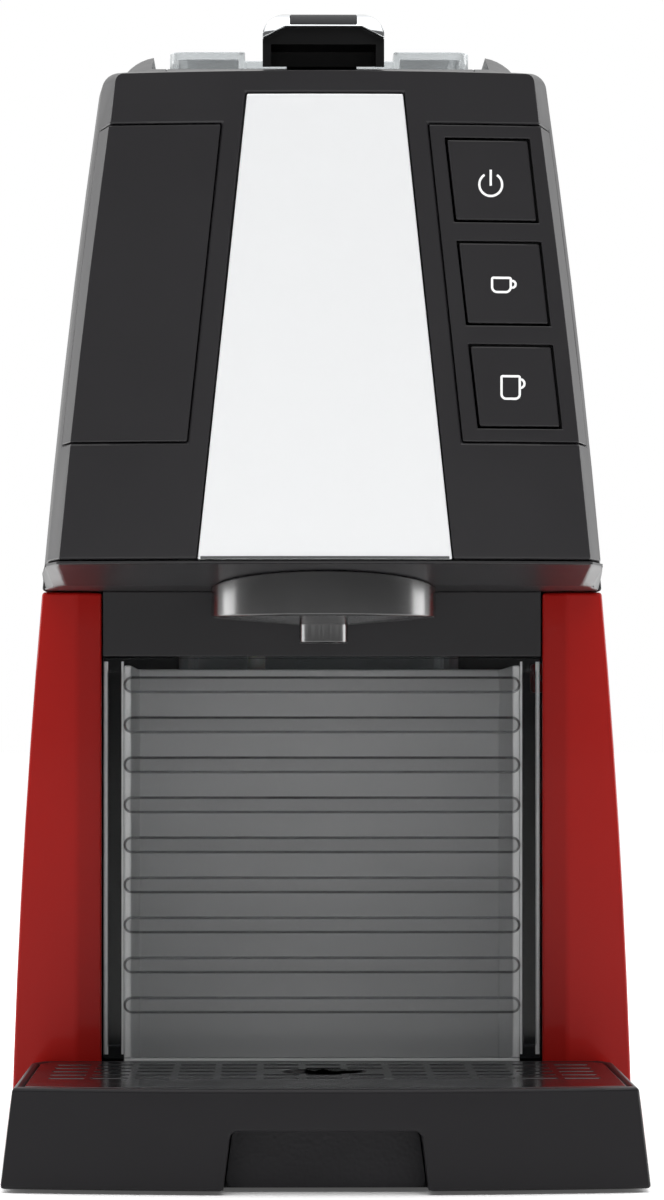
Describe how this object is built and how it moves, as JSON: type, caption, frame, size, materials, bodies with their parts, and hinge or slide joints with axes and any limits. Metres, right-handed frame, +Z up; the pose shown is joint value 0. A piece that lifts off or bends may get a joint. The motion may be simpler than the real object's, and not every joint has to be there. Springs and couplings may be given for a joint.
{
  "type": "pod coffee machine",
  "caption": "Countertop pod coffee machine with a top lever, push buttons, round spout, slotted drip tray, ribbed smoked pod bin and rear water tank.",
  "frame": {"origin": "on the table, under the middle of the machine", "axes": "+X to the user's right, +Y to the back, +Z up"},
  "size_m": [0.1672, 0.34, 0.311],
  "materials": {
    "red_gloss": "gloss",
    "black_satin": "satin",
    "black_gloss": "gloss",
    "silver_panel": "satin",
    "chrome_plate": "polished",
    "smoked_clear": "smoked",
    "clear_plastic": "clear",
    "grey_plastic": "moulded",
    "rubber": "matte",
    "steel": "turned",
    "aluminium": "cast",
    "hose": "silicone",
    "circuit_board": "lacquered"
  },
  "bodies": {
    "machine": {"back_panel": "black_satin", "base_pan": "black_satin", "blank_panel": "black_satin", "brew_frame": "grey_plastic", "brew_hose": "hose", "brew_screws": "steel", "button_panel": "black_satin", "button_switches": "grey_plastic", "casing_screws": "steel", "centre_trim": "silver_panel", "control_board": "circuit_board", "dock_seal": "rubber", "flow_meter": "grey_plastic", "head_shell": "black_satin", "heater_hose": "hose", "injector_plate": "steel", "injector_seal": "rubber", "lever_bushes": "grey_plastic", "lever_switch": "grey_plastic", "mains_inlet": "black_satin", "pod_chute": "grey_plastic", "power_board": "circuit_board", "pump": "grey_plastic", "pump_hose": "hose", "pump_mounts": "rubber", "rear_cover": "black_satin", "rubber_feet": "rubber", "side_panel_left": "red_gloss", "side_panel_right": "red_gloss", "spout_funnel": "grey_plastic", "spout_housing": "black_gloss", "spout_nozzle": "black_gloss", "tank_dock": "grey_plastic", "tank_hose": "hose", "thermoblock": "aluminium", "thermostats": "steel", "top_cover": "black_satin", "underside_cap": "black_satin"},
    "lever": {"lever_arm": "black_satin", "lever_cap": "chrome_plate", "lever_inlay": "black_gloss", "lever_shaft": "steel", "lever_cranks": "steel"},
    "cage": {"pod_cage": "grey_plastic", "cage_gasket": "rubber", "cage_yokes": "steel"},
    "power_button": {"button_power": "black_satin"},
    "small_cup_button": {"button_small_cup": "black_satin"},
    "large_cup_button": {"button_large_cup": "black_satin"},
    "drawer": {"drip_tray": "black_satin", "grip_insert": "black_satin", "bin_tub": "grey_plastic", "bin_front": "smoked_clear"},
    "plate": {"drip_plate": "black_gloss"},
    "tank": {"water_tank": "clear_plastic", "tank_valve": "grey_plastic"},
    "lid": {"tank_lid": "clear_plastic", "lid_pin": "steel"}
  },
  "joints": [
    {"name": "lever_hinge", "type": "hinge", "parent": "machine", "child": "lever", "pos_m": [0, 0.01, 0.288], "axis": [-1, 0, 0], "range_deg": [0, 85]},
    {"name": "cage_slide", "type": "slide", "parent": "machine", "child": "cage", "axis": [0, -1, 0], "range_m": [0, 0.0345]},
    {"name": "power_press", "type": "slide", "parent": "machine", "child": "power_button", "axis": [0, 1, 0], "range_m": [0, 0.0015], "stiffness_N_per_m": 800},
    {"name": "small_cup_press", "type": "slide", "parent": "machine", "child": "small_cup_button", "axis": [0, 1, 0], "range_m": [0, 0.0015], "stiffness_N_per_m": 800},
    {"name": "large_cup_press", "type": "slide", "parent": "machine", "child": "large_cup_button", "axis": [0, 1, 0], "range_m": [0, 0.0015], "stiffness_N_per_m": 800},
    {"name": "drawer_slide", "type": "slide", "parent": "machine", "child": "drawer", "axis": [0, -1, 0], "range_m": [0, 0.1]},
    {"name": "plate_lift", "type": "slide", "parent": "drawer", "child": "plate", "axis": [0, 0, 1], "range_m": [0, 0.08]},
    {"name": "tank_lift", "type": "slide", "parent": "machine", "child": "tank", "axis": [0, 0, 1], "range_m": [0, 0.2]},
    {"name": "lid_hinge", "type": "hinge", "parent": "tank", "child": "lid", "pos_m": [0, 0.1621, 0.3078], "axis": [-1, 0, 0], "range_deg": [0, 100]}
  ],
  "couplings": [
    {"joint": "cage_slide", "follows": "lever_hinge", "m_per_rad": 0.02277}
  ]
}
